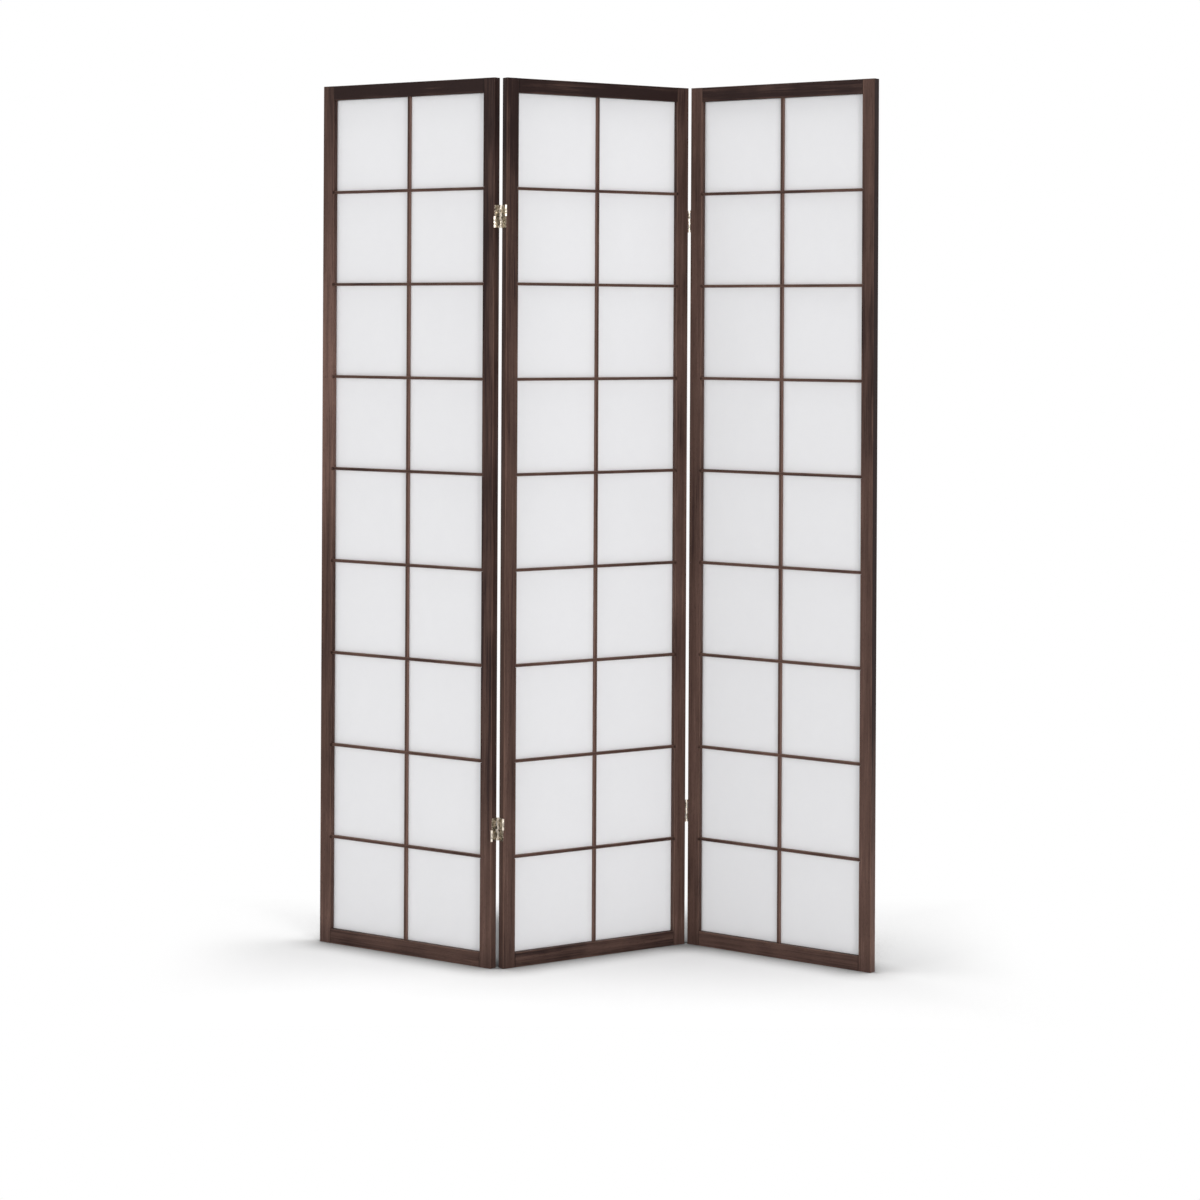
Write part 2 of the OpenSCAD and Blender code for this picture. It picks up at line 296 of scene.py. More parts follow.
# %% [markdown]
# ## Floor, backdrop and light
#
# The screen stands in an all-white studio, with only a soft shadow round its foot. The white has to come
# from the stage and not from more light, or the paper would burn out. So the world is white for rays that
# come from the camera, from shiny metal or through the paper, and a plain level for the light that it
# casts. The floor is a large matt plane that the soft light brings to white near the screen, and only
# where the screen takes some of that light away does it turn grey. Farther off the lamps no longer reach
# it, so there the same rays see it as white paint that glows, and it meets the backdrop with no edge.
#
# Soft light alone leaves the shadow too pale right at the foot and behind the screen. The floor's colour
# is made darker there, by how much the screen closes off the space above each point, and the space in
# front of it.

# %% Make the backdrop
SKY_LEVEL = 0.43


def ray(graph, kind):
    """1 for rays of that kind and 0 for others."""
    return graph.add("ShaderNodeLightPath", output=f"Is {kind} Ray")


def seen_directly(graph):
    """1 for rays from the camera, from shiny metal or through the paper, and 0 for all others."""
    return ray(graph, "Camera").at_least(ray(graph, "Glossy")).at_least(ray(graph, "Transmission"))


world = bpy.data.worlds.new("studio")
bpy.context.scene.world = world
world.use_nodes = True
world.node_tree.nodes.clear()
sky = Graph(world.node_tree)
level = seen_directly(sky) * (1 - SKY_LEVEL) + SKY_LEVEL
background = sky.add("ShaderNodeBackground", sockets={"Color": (1, 1, 1, 1), "Strength": level})
sky.add("ShaderNodeOutputWorld", sockets={"Surface": background})
bpy.context.scene.view_settings.view_transform = "Standard"
print("the sky lights the screen at a level of", SKY_LEVEL)

# %% Lay the floor
FLOOR_COLOUR = (0.93, 0.93, 0.93, 1)
FLOOR_HALF = 30.0
# Half the width and depth of the floor that shows the shadow, and over how far it turns to glowing white
SHADOW_HALF = Vector((0.61, 0.32, 0))
SHADOW_FADE = 0.3
# The shade at the foot: how far round each point it looks for the screen, and how strong it is
CONTACT_REACH = 0.09
CONTACT_STRENGTH = 1.45
# The shade behind the screen: how far and which way it looks, how open the view is where the shade is full
# and where it ends, and the share of the floor's colour that it leaves
BEHIND_REACH = 0.8
FRONTWARDS = Vector((0, -0.95, 0.3))
BEHIND_STEP = (0.52, 0.77)
BEHIND_LEAST = 0.3
SQUARE = ((-1, -1), (1, -1), (1, 1), (-1, 1))
floor_mesh = bpy.data.meshes.new("floor")
floor_mesh.from_pydata([(x * FLOOR_HALF, y * FLOOR_HALF, 0) for x, y in SQUARE], [], [(0, 1, 2, 3)])
floor = bpy.data.objects.new("floor", floor_mesh)
bpy.context.scene.collection.objects.link(floor)
floor_paint, graph = new_material("floor_paint")
across, along = graph.axes(graph.add("ShaderNodeTexCoord", output="Object"))[:2]
from_shadow = (abs(across) - SHADOW_HALF.x).at_least(abs(along) - SHADOW_HALF.y)
above = graph.add("ShaderNodeAmbientOcclusion", sockets={"Distance": CONTACT_REACH}, output="AO")
ahead = graph.add("ShaderNodeAmbientOcclusion", sockets={
    "Distance": BEHIND_REACH, "Normal": graph.vector(*FRONTWARDS),
}, output="AO")
open_ahead = graph.step(ahead, *BEHIND_STEP) * (1 - BEHIND_LEAST) + BEHIND_LEAST
openness = above ** CONTACT_STRENGTH * open_ahead
shade = (1 - openness) * ray(graph, "Camera")
shaded = graph.mix(shade, FLOOR_COLOUR, (0, 0, 0, 1))
matt = graph.add("ShaderNodeBsdfDiffuse", sockets={"Color": shaded})
glow = graph.add("ShaderNodeEmission", sockets={"Color": (1, 1, 1, 1)})
far = seen_directly(graph) * graph.step(from_shadow, 0.0, SHADOW_FADE)
show(graph, graph.mix_shaders(far, matt, glow))
floor_mesh.materials.append(floor_paint)
print("floor", 2 * FLOOR_HALF, "metres square")

# %% Hang the lamps
# For each lamp: where it hangs, where it aims, its width and height, and how white it lights a card
LAMPS = {
    "left_softbox": ((-4.5, -3.5, 1.8), (0, 0, 0.8), 1.6, 2.2, 0.25),
    "right_softbox": ((2.1, -4.8, 1.2), (0, 0, 0.7), 1.6, 2.2, 0.44),
    "top_softbox": ((0, 0.1, 4.2), (0, 0, 0), 3.2, 1.1, 0.54),
    "back_softbox": ((-3.0, 3.5, 2.2), (0, 0, 0.8), 2.0, 2.0, 0.08),
}


def softbox(name, at, aim, width, height, white):
    """Hangs a lamp that lights a white card at its aim to the level white, if the card faces it."""
    lamp = bpy.data.lights.new(name, "AREA")
    lamp.shape = "RECTANGLE"
    lamp.size = width
    lamp.size_y = height
    way = Vector(aim) - Vector(at)
    lamp.energy = white * (math.pi * way.length) ** 2
    made = bpy.data.objects.new(name, lamp)
    bpy.context.scene.collection.objects.link(made)
    made.matrix_world = Matrix.Translation(at) @ way.to_track_quat("-Z", "Y").to_matrix().to_4x4()
    made.visible_camera = False


for name, lamp in LAMPS.items():
    softbox(name, *lamp)
print("lamps:", ", ".join(sorted(lamp.name for lamp in bpy.data.lights)))

# %% [markdown]
# ## Stained wood
#
# Every stile, rail and strip is cut from a plank of its own, planed, rounded along its edges and stained
# dark brown. The stain soaks in unevenly: the open pores stay dark, the hard late wood between them stays
# lighter, and a little colour is rubbed off along the edges. The upright pieces are made darker towards
# their feet. An image of wood would do for one plank, but here each piece needs its own grain, running along
# it. So the pattern is worked out in the panel's own axes: noise that is stretched along the grain gives
# bands, streaks and pores, and each piece reads it from another place.

# %% Choose the wood's colours
MM = 0.001
STAIN_DARK = colour(35, 21, 19)
STAIN_MIDDLE = colour(78, 58, 51)
STAIN_LIGHT = colour(110, 85, 76)
EDGE_COLOUR = colour(110, 85, 73)
JOINT_COLOUR = colour(18, 11, 9)
print(f"the red of a stained plank goes from {STAIN_DARK[0]:.3f} to {STAIN_LIGHT[0]:.3f}")

# %% Read a pattern in a panel's own axes


def panel_axes(graph, place):
    """Place and normal of the shaded point along the axes of the panel that stands at that place."""
    coordinates = graph.add("ShaderNodeTexCoord").socket.node
    turn = {"Rotation": (0, 0, -place.to_euler().z)}
    at = graph.add("ShaderNodeMapping", sockets={
        "Vector": Wire(graph, coordinates.outputs["Object"]),
        "Location": place.inverted().translation, **turn,
    })
    normal = graph.add("ShaderNodeMapping", {"vector_type": "NORMAL"}, {
        "Vector": Wire(graph, coordinates.outputs["Normal"]), **turn,
    })
    return graph.axes(at), graph.axes(normal)


turned = math.degrees(places["middle"].to_euler().z)
print(f"the middle panel's patterns turn by {turned:.1f} degrees")

# %% Read the grain of a plank
# Over how many millimetres each layer of noise changes, across the grain and along it
BANDS_MM = (11, 420)
STREAKS_MM = (2.6, 90)
PORES_MM = (0.55, 7)
# The clouds don't follow the grain: these are their width and height on the panel
CLOUDS_MM = (90, 160)
# Where the finest noise goes from closed wood to an open pore
PORE_STEP = (0.60, 0.74)
# How far apart two planks lie in the noise
PLANK_SHIFT = 37.0
CLOUD_SHIFT = 11.0


def read_grain(graph, at, along, plank):
    """Bands, streaks, open pores and clouds of stain at a point of a plank, each from 0 to 1."""
    side, y, run = at[2 - along], at[1], at[along]

    def grain(over_mm, along_mm, detail=2.0, roughness=0.5):
        """Noise that is stretched along the plank."""
        return graph.noise(graph.vector(
            side / (over_mm * MM) + plank * PLANK_SHIFT, y / (over_mm * MM), run / (along_mm * MM) + plank,
        ), detail, roughness)

    cloud_width, cloud_height = CLOUDS_MM
    clouds = graph.noise(graph.vector(
        at[0] / (cloud_width * MM), y / (cloud_width * MM) + plank * CLOUD_SHIFT,
        at[2] / (cloud_height * MM),
    ))
    pores = graph.step(grain(*PORES_MM, detail=1.0), *PORE_STEP)
    return grain(*BANDS_MM), grain(*STREAKS_MM, detail=3.0, roughness=0.6), pores, clouds


print("streaks in the grain are", STREAKS_MM[1], "mm long and pores", PORES_MM[1], "mm")

# %% Say how wood takes stain and wear, and how much darker its foot is
# How much each layer of noise changes the stain
BAND_CHANGE = 0.9
STREAK_CHANGE = 1.1
CLOUD_CHANGE = 0.8
# Where a share rises from 0 to 1: over the stain's darkness, over a face's turn, or over a depth
LIGHT_TO_MIDDLE = (-0.2, 0.55)
MIDDLE_TO_DARK = (0.45, 1.2)
WEAR_LOST = (0.5, 1.3)
SIDE_TURN = (0.5, 0.9)
END_GRAIN_TURN = (0.7, 0.9)
WEAR_DEPTH = (0.5 * MM, 1.9 * MM)
JOINT_DEPTH = (0.4 * MM, 1.4 * MM)
FOOT_HEIGHT = (0.0, 55 * MM)
# How much of a colour shows at the most
PORE_SHARE = 0.55
WEAR_SHARE = 0.42
WEAR_LOST_SHARE = 0.8
END_GRAIN_SHARE = 0.6
FOOT_SHARE = 0.35
# How far the edge of the worn wood wanders
WEAR_WANDER = 2 * MM
print(f"upright pieces are soiled up to {FOOT_HEIGHT[1] / MM:.0f} mm above the floor")

# %% Make a material for wood
EVEN = (0, 0)
# How rough a plank is, and how much streaks and pores add to it
WOOD_ROUGHNESS = 0.52
STREAK_ROUGHNESS = 0.25
PORE_ROUGHNESS = 0.2
WOOD_GLOSS = 0.1
# Strength and depth of the grain's relief, and how much the streaks stand up beside the pores
WOOD_BUMP = (0.35, 0.15 * MM)
STREAK_HEIGHT = 0.6


def stained_wood(
    name, place, box, along, plank, tones_and_painted_light=EVEN, side_painted_light=EVEN, row=1, width=None, joints=False,
):
    """Material for wood whose box is given by its lowest and highest corner in the axes of its panel.

    along is the axis that the grain follows, 0 or 2, and plank is a number that picks the grain. The tones
    make the wood lighter or darker, by steps from its lower or left end to its other end: partly its own
    tone, and partly painted light and shade. The side tones do so on its sides, as painted light and shade.
    The box may hold a row of pieces side by side, each of that width. joints darkens the last of the wood at
    both ends, where it butts another piece.
    """
    material, graph = new_material(name)
    low, high = box
    middle = (low + high) / 2
    half = (high - low) / 2
    across = 2 - along
    at, normal = panel_axes(graph, place)
    run, side, y = at[along], at[across], at[1]
    own_plank = graph.add("ShaderNodeAttribute", {"attribute_name": "plank"}, output="Fac") + plank
    bands, streaks, pores, clouds = read_grain(graph, at, along, own_plank)

    # How much stain the wood took, with the painted shade and light of its tones, from about 0 at the palest
    # to about 1 at the darkest
    share = (run - low[along]) / (2 * half[along])
    tone_and_painted_light = graph.curve(share, tones_and_painted_light)
    # The sides take painted light and shade of their own, by steps along the piece
    if side_painted_light != EVEN:
        tone_and_painted_light = graph.step(abs(normal[across]), *SIDE_TURN) * graph.curve(share, side_painted_light) + tone_and_painted_light
    dark = (
        0.5 - tone_and_painted_light + (bands - 0.5) * BAND_CHANGE + (streaks - 0.5) * STREAK_CHANGE
        + (clouds - 0.5) * CLOUD_CHANGE
    )
    wood = graph.mix(graph.step(dark, *LIGHT_TO_MIDDLE), STAIN_LIGHT, STAIN_MIDDLE)
    wood = graph.mix(graph.step(dark, *MIDDLE_TO_DARK), wood, STAIN_DARK)
    wood = graph.mix(pores * PORE_SHARE, wood, JOINT_COLOUR)

    # Wear shows along the edges that run with the grain, where the two nearest faces are both close
    own_half = width / 2 if width else half[across]
    from_middle = abs(side - middle[across])
    if row > 1:
        pitch = (half[across] - own_half) * 2 / (row - 1)
        from_middle = abs((side - low[across] - own_half).wrap(pitch / 2, -pitch / 2))
    from_side = own_half - from_middle
    from_face = half.y - abs(y - middle.y)
    rub = from_side.at_least(from_face) + (streaks - 0.5) * WEAR_WANDER
    wear = (1 - graph.step(rub, *WEAR_DEPTH)) * (1 - graph.step(dark, *WEAR_LOST) * WEAR_LOST_SHARE)
    wood = graph.mix(wear * WEAR_SHARE, wood, EDGE_COLOUR)

    # End grain drinks more stain, and so does the wood at a joint
    end_grain = graph.step(abs(normal[along]), *END_GRAIN_TURN)
    wood = graph.mix(end_grain * END_GRAIN_SHARE, wood, STAIN_DARK)
    if joints:
        from_end = half[along] - abs(run - middle[along])
        wood = graph.mix(1 - graph.step(from_end, *JOINT_DEPTH), wood, JOINT_COLOUR)

    # Upright pieces are made darker towards their foot
    if along == 2:
        darkened = 1 - graph.step(at[2], *FOOT_HEIGHT)
        wood = graph.mix(darkened * FOOT_SHARE, wood, STAIN_DARK)

    roughness = WOOD_ROUGHNESS + (streaks - 0.5) * STREAK_ROUGHNESS + pores * PORE_ROUGHNESS
    bump = graph.bump(streaks * STREAK_HEIGHT - pores, *WOOD_BUMP)
    show(graph, graph.add("ShaderNodeBsdfPrincipled", sockets={
        "Base Color": wood, "Roughness": roughness, "Normal": bump, "Specular IOR Level": WOOD_GLOSS,
    }))
    return material


print("the roughness of wood is about", WOOD_ROUGHNESS)

# %% [markdown]
# ## Frames, battens and dowels
#
# The CAD model already has the right shape for these, down to their rounded edges, so they keep it and
# only get their own wood. Each plank differs a little from the next, which the eye takes as a sign of real
# wood: the tables say how light each one is, by steps along it. The steps also hold painted shade and
# light: the stiles are painted darker towards their tops, the top rails darker still, and the left panel's
# left stile has a lighter band of painted sheen. The right panel's right stile is painted in shade on its
# sides above its foot.

# %% Dress the wooden pieces of the frames


def dress(node, material):
    """Gives a CAD node one material."""
    nodes[node].data.materials.clear()
    nodes[node].data.materials.append(material)


# How light each piece is, by steps from its lower or left end: partly the planks' own tones, and partly
# painted shade towards the tops and a painted sheen on the left panel's left stile
TONES_AND_PAINTED_LIGHT = {
    "left_panel_left_stile": (0.2, -0.3, 0.5, -0.2),
    "left_panel_right_stile": (0.2, -0.45, -0.4, -0.5),
    "left_panel_top_rail": (-0.7, -0.7),
    "left_panel_bottom_rail": (-0.15, -0.15),
    "middle_panel_left_stile": (0.05, -0.05, -0.15, -0.55),
    "middle_panel_right_stile": (0, -0.05, 0, -0.25),
    "middle_panel_top_rail": (-0.7, -0.7),
    "middle_panel_bottom_rail": (-0.3, -0.3),
    "right_panel_left_stile": (0, 0, -0.1, -0.2),
    "right_panel_right_stile": (0.05, 0.05, -0.35, -0.1),
    "right_panel_top_rail": (-0.5, -0.5),
    "right_panel_bottom_rail": (-0.2, -0.2),
}
# The right panel's right stile is painted in shade on its sides, and lighter at its foot
SIDE_PAINTED_SHADE = {
    "right_panel_right_stile": (0.35, -0.7, -0.7, -0.7),
}
# For each piece: the axis of its grain, whether its ends butt, and how many lie side by side
FRAME_PIECES = {
    "left_stile": (2, False, 1),
    "right_stile": (2, False, 1),
    "top_rail": (0, True, 1),
    "bottom_rail": (0, True, 1),
    "side_battens": (2, False, 2),
    "cross_battens": (0, True, 2),
    "corner_dowels": (0, False, 1),
}
BATTEN_WIDTH = 5.8 * MM
# Steps in the number that picks the grain, from panel to panel and from piece to piece
PANEL_PLANKS = 3.7
PIECE_PLANKS = 1.3
for number, panel in enumerate(PANELS):
    for order, (piece, (along, joints, row)) in enumerate(FRAME_PIECES.items()):
        node = f"{panel}_panel_{piece}"
        plank = PANEL_PLANKS * number + PIECE_PLANKS * order
        dress(node, stained_wood(
            f"{node}_wood", places[panel], own_box(node, places[panel]), along, plank,
            TONES_AND_PAINTED_LIGHT.get(node, EVEN), SIDE_PAINTED_SHADE.get(node, EVEN),
            row, BATTEN_WIDTH if row > 1 else None, joints,
        ))
print("wooden CAD nodes:", len(PANELS) * len(FRAME_PIECES))

# %% [markdown]
# ## The lattice
#
# A panel has eight crossbars and one upright, each a thin strip. Where two strips cross, each loses half
# of its thickness: the crossbars run through in front, and the upright behind. Strips like these could be
# cut one by one, but they all follow one rule, so Geometry Nodes make them: a strip, less a row of
# notches, set out at a steady pitch. The same tree makes the crossbars, eight strips with one notch, and
# the upright, one strip with eight. Each strip carries a number of its own, by which the wood picks its
# grain.

# %% Start, finish and follow a recipe
EDGE_SEGMENTS = 2


def new_recipe(name, inputs):
    """A Geometry Nodes tree with inputs {name: kind of socket}, its graph, and its inputs as wires."""
    tree = bpy.data.node_groups.new(name, "GeometryNodeTree")
    tree.interface.new_socket("Geometry", in_out="OUTPUT", socket_type="NodeSocketGeometry")
    for label, kind in inputs.items():
        tree.interface.new_socket(label, in_out="INPUT", socket_type=f"NodeSocket{kind}")
    graph = Graph(tree)
    given = tree.nodes.new("NodeGroupInput")
    return tree, graph, {label: Wire(graph, given.outputs[label]) for label in inputs}


def finish_recipe(graph, geometry, material):
    """Ends a tree as the export needs it: real meshes in place of instances, with their material."""
    real = graph.add("GeometryNodeRealizeInstances", sockets={"Geometry": geometry})
    dressed = graph.add("GeometryNodeSetMaterial", sockets={"Geometry": real, "Material": material})
    graph.add("NodeGroupOutput", sockets={"Geometry": dressed})


def follow_recipe(name, tree, sizes, place, points=(), edge=0.0):
    """A piece that a tree makes of these sizes, rounded along its edges, as a plain mesh in its place."""
    mesh = bpy.data.meshes.new(name)
    mesh.from_pydata(points, [], [])
    piece = bpy.data.objects.new(name, mesh)
    bpy.context.scene.collection.objects.link(piece)
    recipe = piece.modifiers.new("recipe", "NODES")
    recipe.node_group = tree
    for item in tree.interface.items_tree:
        if item.in_out == "INPUT" and item.name in sizes:
            recipe[item.identifier] = sizes[item.name]
    if edge:
        bevel = piece.modifiers.new("edges", "BEVEL")
        bevel.width = edge
        bevel.segments = EDGE_SEGMENTS
    grown = piece.evaluated_get(bpy.context.evaluated_depsgraph_get())
    settled = bpy.data.meshes.new_from_object(grown)
    piece.modifiers.clear()
    piece.data = settled
    bpy.data.meshes.remove(mesh)
    settled.name = name
    settled.transform(place)
    return piece


print("edges are rounded in", EDGE_SEGMENTS, "steps")

# %% Write the recipe for halved strips
# The step in the number that picks the grain, from strip to strip
STRIP_PLANKS = 1.7
STRIP_INPUTS = {
    "Strips": "Int", "Strip Pitch": "Float", "Length": "Float", "Width": "Float", "Thickness": "Float",
    "Notches": "Int", "Notch Pitch": "Float", "Notch Width": "Float", "Notch Depth": "Float",
    "Notch Side": "Float", "Material": "Material",
}
strip_tree, graph, given = new_recipe("halved_strips", STRIP_INPUTS)
strip = graph.add("GeometryNodeMeshCube", sockets={
    "Size": graph.vector(given["Length"], given["Thickness"], given["Width"]),
})
notch = graph.add("GeometryNodeMeshCube", sockets={
    "Size": graph.vector(given["Notch Width"], given["Notch Depth"] * 2, given["Width"] * 2),
})
first_notch = (given["Notches"] - 1) * given["Notch Pitch"] * -0.5
notched_face = given["Notch Side"] * given["Thickness"] * 0.5
notch_places = graph.add("GeometryNodeMeshLine", sockets={
    "Count": given["Notches"],
    "Start Location": graph.vector(first_notch, notched_face, 0.0),
    "Offset": graph.vector(given["Notch Pitch"], 0.0, 0.0),
})
notches = graph.add("GeometryNodeInstanceOnPoints", sockets={"Points": notch_places, "Instance": notch})
notches = graph.add("GeometryNodeRealizeInstances", sockets={"Geometry": notches})
halved = graph.add(
    "GeometryNodeMeshBoolean", {"operation": "DIFFERENCE", "solver": "EXACT"},
    {"Mesh 1": strip, "Mesh 2": notches},
)
strip_places = graph.add("GeometryNodeMeshLine", sockets={
    "Count": given["Strips"],
    "Start Location": graph.vector(0.0, 0.0, (given["Strips"] - 1) * given["Strip Pitch"] * -0.5),
    "Offset": graph.vector(0.0, 0.0, given["Strip Pitch"]),
})
strips = graph.add("GeometryNodeInstanceOnPoints", sockets={"Points": strip_places, "Instance": halved})
numbered = graph.add(
    "GeometryNodeStoreNamedAttribute", {"data_type": "FLOAT", "domain": "INSTANCE"},
    {"Geometry": strips, "Name": "plank", "Value": graph.add("GeometryNodeInputIndex") * STRIP_PLANKS},
)
finish_recipe(graph, numbered, given["Material"])
print("halved_strips takes", ", ".join(STRIP_INPUTS))

# %% Measure pieces that share a node
# Corners of a CAD node's loose triangles that are closer than this are one corner
WELD = 0.01 * MM


def loose_boxes(node, place):
    """Lowest and highest corner of each separate solid in a CAD node, along the axes of its panel."""
    mesh = bmesh.new()
    mesh.from_mesh(nodes[node].data)
    mesh.transform(place.inverted())
    bmesh.ops.remove_doubles(mesh, verts=mesh.verts, dist=WELD)
    waiting = set(mesh.verts)
    boxes = []
    while waiting:
        reached = [waiting.pop()]
        for vertex in reached:
            beside = {edge.other_vert(vertex) for edge in vertex.link_edges} & waiting
            waiting -= beside
            reached.extend(beside)
        corners = np.array([vertex.co for vertex in reached])
        boxes.append((Vector(corners.min(axis=0)), Vector(corners.max(axis=0))))
    mesh.free()
    return sorted(boxes, key=lambda box: tuple(box[0]))


print("crossbars in the middle panel:", len(loose_boxes("middle_panel_crossbars", places["middle"])))

# %% Make the lattice


def ride_and_replace(piece, panel, stood_for):
    """Makes a piece move with a panel and stand for a CAD node, which it hides."""
    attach(piece, f"{panel}_panel")
    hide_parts(stood_for)


STRIP_FIT = 0.1 * MM
STRIP_EDGE = 0.4 * MM
NOTCH_FRONT = -1.0
NOTCH_BACK = 1.0
STRIP_TONES = (-0.15, -0.15)
# The strips' sides are painted lighter than their faces, as a painted highlight
STRIP_SIDE_PAINTED_LIGHT = (0.8, 0.8)
# The numbers that pick the grain of the first panel's strips, and their steps from panel to panel
CROSSBAR_PLANK = 0.4
CROSSBAR_PANEL_PLANKS = 2.9
UPRIGHT_PLANK = 0.9
UPRIGHT_PANEL_PLANKS = 5.3
UPWARDS = Matrix.Rotation(-math.pi / 2, 4, "Y")
crossbar_levels = {}
for number, panel in enumerate(PANELS):
    bars = sorted(loose_boxes(f"{panel}_panel_crossbars", places[panel]), key=lambda box: box[0].z)
    low, high = own_box(f"{panel}_panel_crossbars", places[panel])
    post_low, post_high = own_box(f"{panel}_panel_upright", places[panel])
    crossbar_levels[panel] = [(bar_low.z + bar_high.z) / 2 for bar_low, bar_high in bars]
    width = bars[0][1].z - bars[0][0].z
    pitch = crossbar_levels[panel][1] - crossbar_levels[panel][0]
    thickness = high.y - low.y
    shared = {
        "Width": width, "Thickness": thickness, "Notch Width": width + 2 * STRIP_FIT,
        "Notch Depth": thickness / 2, "Strip Pitch": pitch, "Notch Pitch": pitch,
    }
    crossbar_wood = stained_wood(
        f"{panel}_crossbar_wood", places[panel], (low, high), 0,
        CROSSBAR_PANEL_PLANKS * number + CROSSBAR_PLANK, STRIP_TONES, STRIP_SIDE_PAINTED_LIGHT, len(bars), width,
    )
    upright_wood = stained_wood(
        f"{panel}_upright_wood", places[panel], (post_low, post_high), 2,
        UPRIGHT_PANEL_PLANKS * number + UPRIGHT_PLANK, STRIP_TONES, STRIP_SIDE_PAINTED_LIGHT,
    )
    crossbars = follow_recipe(
        f"{panel}_lattice_crossbars", strip_tree,
        {
            **shared, "Strips": len(bars), "Length": high.x - low.x, "Notches": 1, "Notch Side": NOTCH_BACK,
            "Material": crossbar_wood,
        },
        places[panel] @ Matrix.Translation((low + high) / 2), edge=STRIP_EDGE,
    )
    upright = follow_recipe(
        f"{panel}_lattice_upright", strip_tree,
        {
            **shared, "Strips": 1, "Length": post_high.z - post_low.z, "Notches": len(bars),
            "Notch Side": NOTCH_FRONT, "Material": upright_wood,
        },
        places[panel] @ Matrix.Translation((post_low + post_high) / 2) @ UPWARDS, edge=STRIP_EDGE,
    )
    ride_and_replace(crossbars, panel, f"{panel}_panel_crossbars")
    ride_and_replace(upright, panel, f"{panel}_panel_upright")
    print(panel, "lattice:", len(crossbars.data.polygons) + len(upright.data.polygons), "faces")

# %% [markdown]
# ## The paper
#
# One sheet of strong fibrous paper is glued to the backs of the strips and to the floor of the rebate.
# Glued wet, it dries taut, but never quite flat: each cell keeps a hint of a wave. Cloth simulation could
# find such waves, but they are smaller than a millimetre and depend on how the paper was wetted, so smooth
# noise shapes them here, and fades out where the sheet is glued. Light passes through real paper, so a
# part of its material is a Translucent shader, and long fibres, laid in three directions, make its face a
# little uneven.

# %% Make the paper's material
# Each sheet's white. They differ as painted shade, and the right sheet's is the lowest, to darken that panel
PAPER_WHITES_AND_SHADE = {
    "left": colour(236, 236, 237),
    "middle": colour(237, 237, 238),
    "right": colour(232, 232, 233),
}
FIBRE_SHADE = colour(248, 248, 249)
# The share of the light that goes through the paper and not off its face
LIGHT_THROUGH = 0.40
# The directions of the long fibres, in radians from the width of the sheet
FIBRE_TURNS = (0.35, 1.45, 2.50)
FIBRE_WIDTH = 0.9 * MM
FIBRE_LENGTH = 14 * MM
FIBRE_STEP = (0.60, 0.75)
FIBRE_SHARE = 0.35
# The shorter fibres, the pulp, only make clouds
PULP_SIZE = 22 * MM
PULP_SHARE = 0.5
PULP_ROUGHNESS = 0.12
PAPER_ROUGHNESS = 0.78
PAPER_GLOSS = 0.2
# Strength and depth of the fibres' relief
PAPER_BUMP = (0.25, 0.1 * MM)


def fibrous_paper(name, place, white):
    """Material for paper of that white with long fibres in it, in the axes of the panel at that place."""
    material, graph = new_material(name)
    x, _, z = panel_axes(graph, place)[0]
    fibres = 0.0
    for turn in FIBRE_TURNS:
        along = x * math.cos(turn) + z * math.sin(turn)
        across = z * math.cos(turn) - x * math.sin(turn)
        strands = graph.vector(across / FIBRE_WIDTH, along / FIBRE_LENGTH + turn, turn)
        fibres = graph.step(graph.noise(strands, roughness=0.6), *FIBRE_STEP) + fibres
    pulp = graph.noise(graph.vector(x / PULP_SIZE, 0.0, z / PULP_SIZE), detail=4.0, roughness=0.6)
    tint = graph.mix(fibres * FIBRE_SHARE + pulp * PULP_SHARE, white, FIBRE_SHADE, "MULTIPLY")
    bump = graph.bump(fibres + pulp, *PAPER_BUMP)
    face = graph.add("ShaderNodeBsdfPrincipled", sockets={
        "Base Color": tint, "Roughness": PAPER_ROUGHNESS + pulp * PULP_ROUGHNESS, "Normal": bump,
        "Specular IOR Level": PAPER_GLOSS,
    })
    through = graph.add("ShaderNodeBsdfTranslucent", sockets={"Color": white})
    show(graph, graph.mix_shaders(LIGHT_THROUGH, face, through))
    return material


print("light that passes through the paper:", LIGHT_THROUGH)

# %% Stretch the paper
PAPER_CELL = 8 * MM
WAVE_HEIGHT = 0.9 * MM
WAVE_LENGTH = 75 * MM
# Over how far from the glue a wave rises
WAVE_FADE = 35 * MM
# The step from panel to panel in the noise that shapes the waves
PANEL_SEEDS = 10.0


